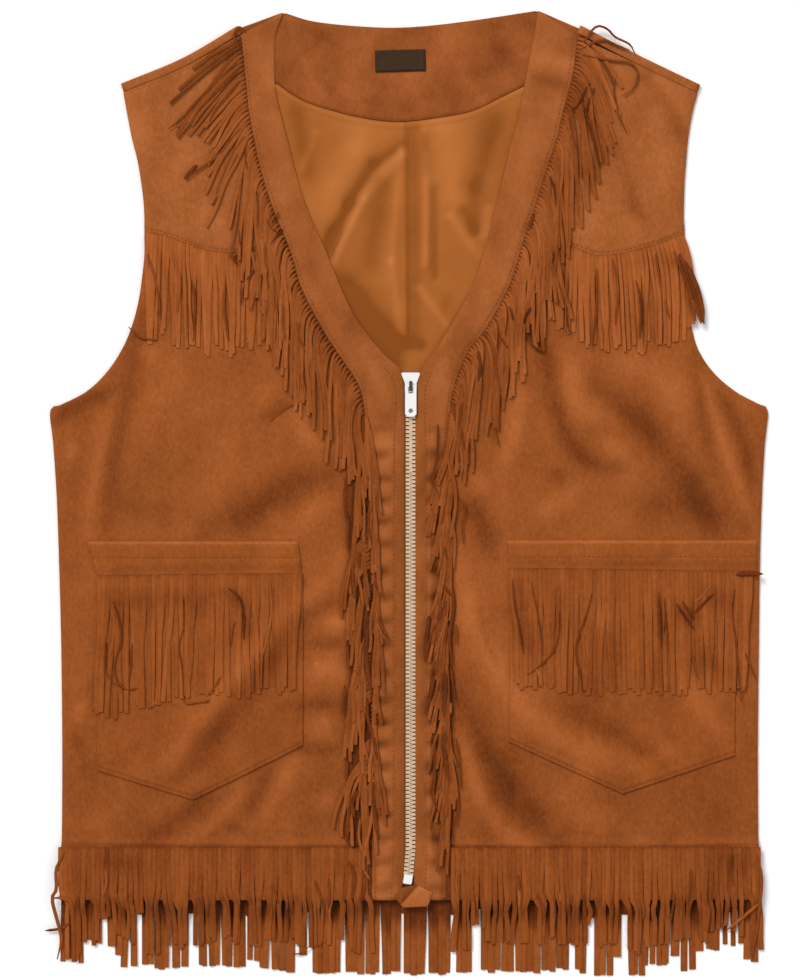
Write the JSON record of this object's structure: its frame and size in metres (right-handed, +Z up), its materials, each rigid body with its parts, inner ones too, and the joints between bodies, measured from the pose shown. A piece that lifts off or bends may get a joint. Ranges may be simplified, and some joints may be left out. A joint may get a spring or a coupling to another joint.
{
  "type": "western vest",
  "caption": "Fringed faux-suede western vest with a V neck and front zip, laid flat with the zip closed, with yokes, patch pockets and fringe at the bands, yokes, pockets and hem.",
  "frame": {"origin": "middle of the laid-out outline, on the surface that the vest lies on", "axes": "+X to the right across the front as seen from above, +Y towards the neck, +Z up away from the surface"},
  "size_m": [0.5012, 0.6744, 0.01],
  "materials": {
    "suede": "brushed faux suede",
    "suede_fringe": "brushed faux suede, cut edges",
    "satin": "satin",
    "label": "matte woven",
    "tape": "woven tape",
    "zip_metal": "polished"
  },
  "bodies": {
    "vest": {"back_panel": "suede", "neck_facing": "suede", "back_lining": "satin", "label_patch": "label", "front_yoke_left": "suede", "front_yoke_right": "suede", "front_panel_left": "suede", "front_panel_right": "suede", "front_band_left": "suede", "front_band_right": "suede", "pocket_left": "suede", "pocket_right": "suede", "pocket_band_left": "suede", "pocket_band_right": "suede", "band_fringe_left": "suede_fringe", "band_fringe_right": "suede_fringe", "band_fringe_right_low": "suede_fringe", "yoke_fringe_left": "suede_fringe", "yoke_fringe_right": "suede_fringe", "pocket_fringe_left": "suede_fringe", "pocket_fringe_right": "suede_fringe", "hem_fringe_left": "suede_fringe", "hem_fringe_right": "suede_fringe", "hem_fringe_back": "suede_fringe", "zip_tape_left": "tape", "zip_tape_right": "tape", "zip_chain": "zip_metal", "zip_slider": "zip_metal", "zip_stop": "zip_metal"},
    "pull": {"pull_tab": "zip_metal"}
  },
  "joints": [
    {"name": "pull_tab_flip", "type": "hinge", "parent": "vest", "child": "pull", "pos_m": [0.0012, 0.0745, 0.00815], "axis": [-1, 0, 0], "range_deg": [0, 165]}
  ]
}
